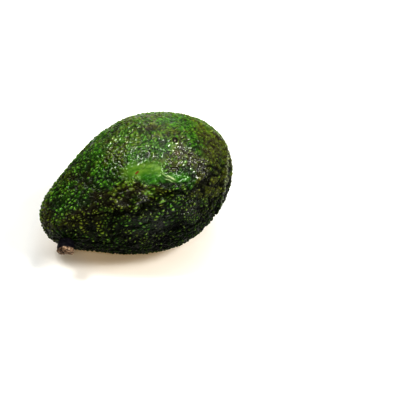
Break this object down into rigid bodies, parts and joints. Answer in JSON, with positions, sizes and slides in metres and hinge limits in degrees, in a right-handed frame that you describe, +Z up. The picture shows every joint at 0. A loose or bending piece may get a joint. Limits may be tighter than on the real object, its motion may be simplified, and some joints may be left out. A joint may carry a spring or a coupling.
{
  "type": "avocado",
  "caption": "Whole pear-shaped avocado with pebbled dark green skin and a short broken stem stub, lying on a small flat spot.",
  "frame": {"origin": "centre of the object's box in X and Y, on the surface that the fruit rests on", "axes": "+Z up from the resting surface; the long axis lies near X with the blunt blossom end at +X and the drooping stem end at -X; the stem stub leaves the neck on the -Y side"},
  "size_m": [0.1034, 0.0718, 0.0709],
  "materials": {
    "skin": "semi-gloss pebbled skin",
    "stem": "matt, dark collar and pale broken end"
  },
  "bodies": {
    "root": {"fruit_body": "skin", "stem_stub": "stem"}
  },
  "joints": []
}
